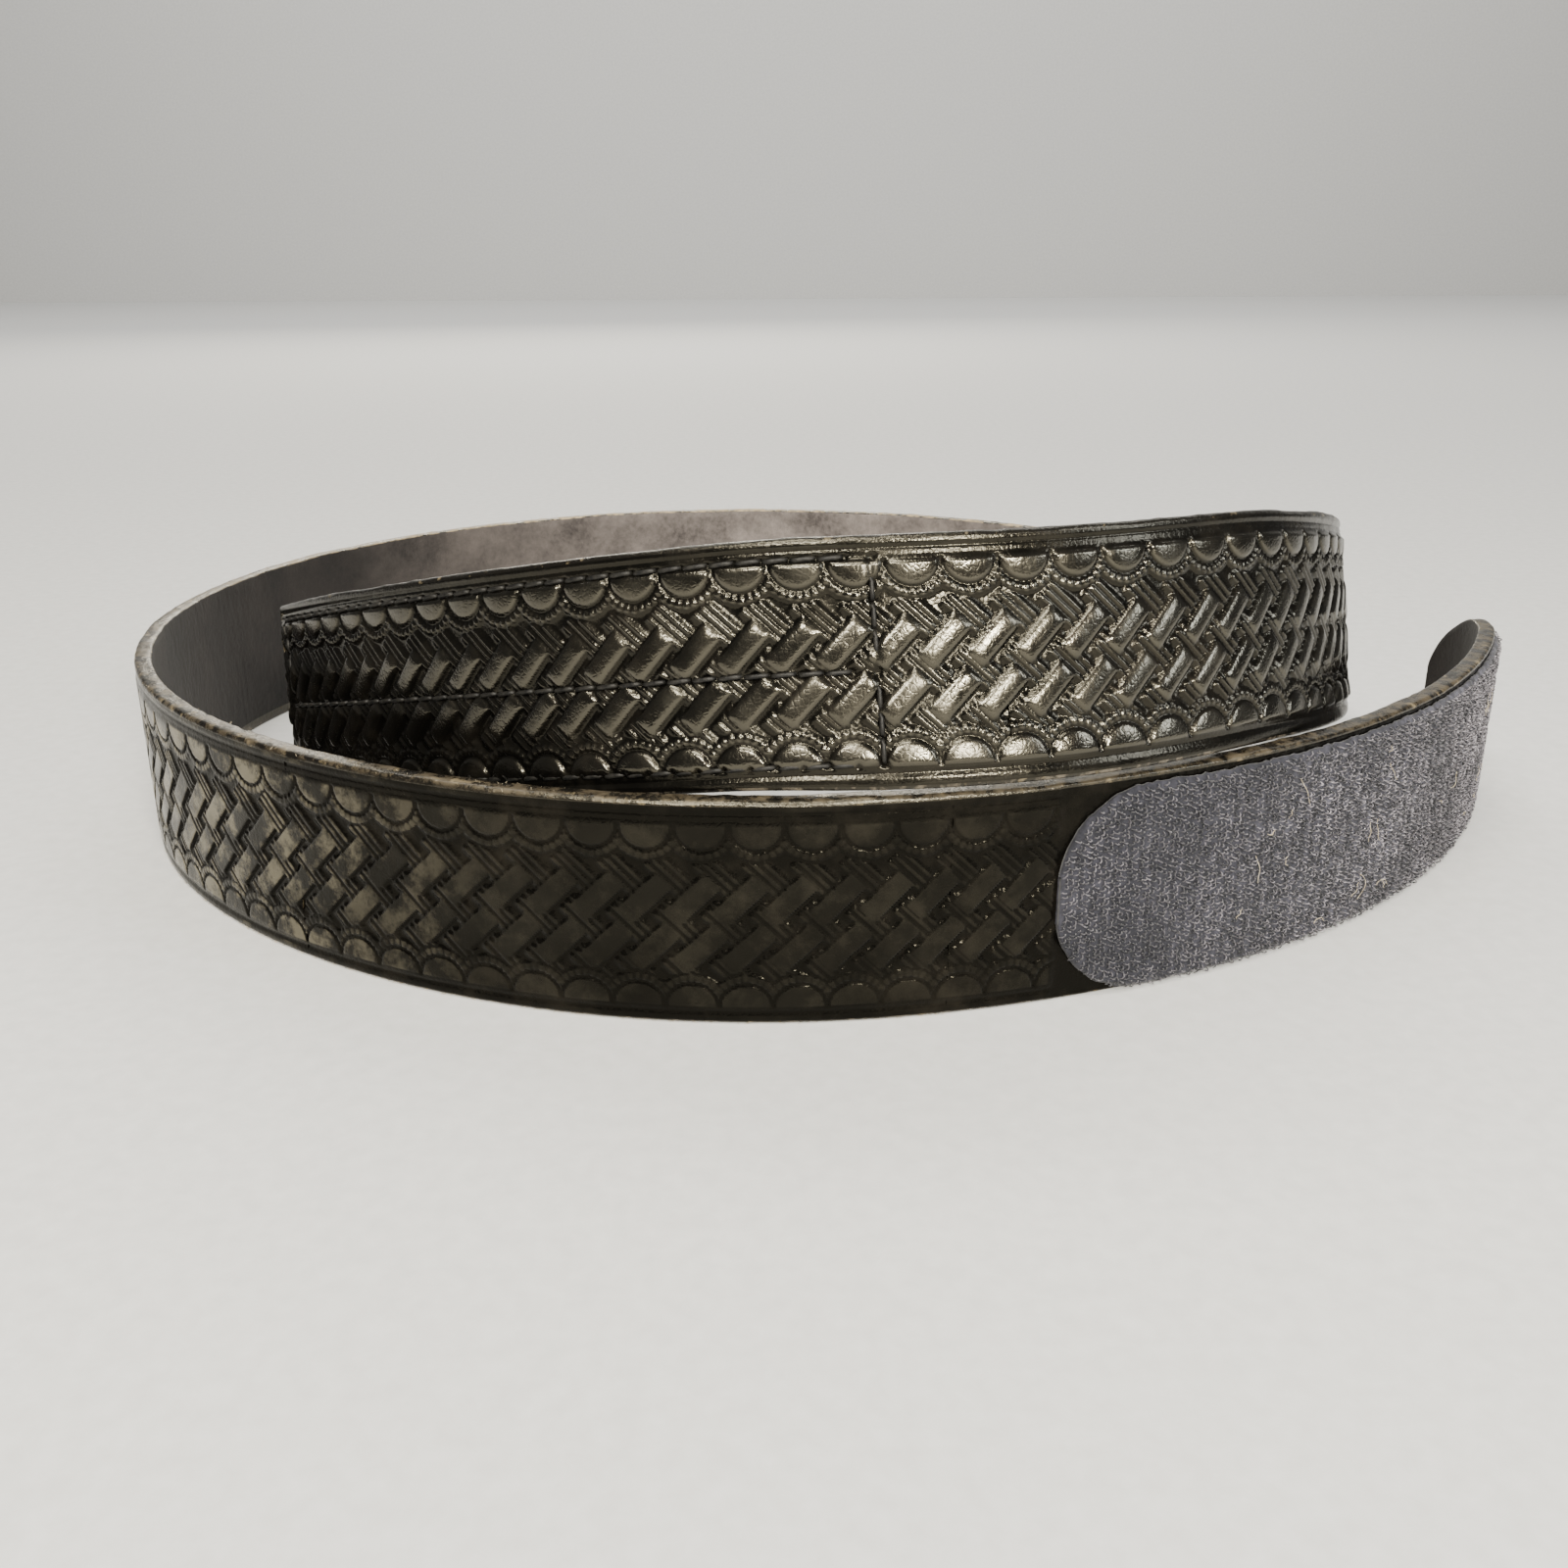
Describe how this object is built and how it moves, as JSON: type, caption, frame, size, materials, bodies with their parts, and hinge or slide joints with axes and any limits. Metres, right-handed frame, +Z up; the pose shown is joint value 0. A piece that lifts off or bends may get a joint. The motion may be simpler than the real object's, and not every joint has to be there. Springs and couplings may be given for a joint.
{
  "type": "leather belt",
  "caption": "Black basketweave-embossed leather belt with a hook-and-loop closure and no buckle, coiled on its edge.",
  "frame": {"origin": "centre of the coil's bounding box, on the ground it stands on", "axes": "+Z up along the standing strap's width, +Y from the front of the coil to its back, +X to the tip's side"},
  "size_m": [0.298, 0.2544, 0.0774],
  "materials": {
    "strap_leather": "glossy embossed black leather",
    "loop_fabric": "charcoal brushed loop pile",
    "hook_fabric": "black woven hook tape",
    "thread": "black waxed thread"
  },
  "bodies": {
    "coil": {"strap_coil": "strap_leather"},
    "inner_end": {"strap_inner_end": "strap_leather", "hook_patch": "hook_fabric", "stitch_row_top": "thread", "stitch_row_centre": "thread", "stitch_row_bottom": "thread", "stitch_row_end": "thread", "stitch_row_cross": "thread"},
    "tip": {"strap_tip": "strap_leather", "loop_patch": "loop_fabric"}
  },
  "joints": [
    {"name": "inner_end_flex", "type": "hinge", "parent": "coil", "child": "inner_end", "pos_m": [0.00993, -0.1198, 0.05837], "axis": [-0.0742, 0.2591, 0.963], "range_deg": [-25, 0], "stiffness_Nm_per_rad": 0.6},
    {"name": "tip_flex", "type": "hinge", "parent": "coil", "child": "tip", "pos_m": [0.03375, -0.11871, 0.01905], "axis": [0, 0, 1], "range_deg": [-45, 0], "stiffness_Nm_per_rad": 0.3}
  ]
}
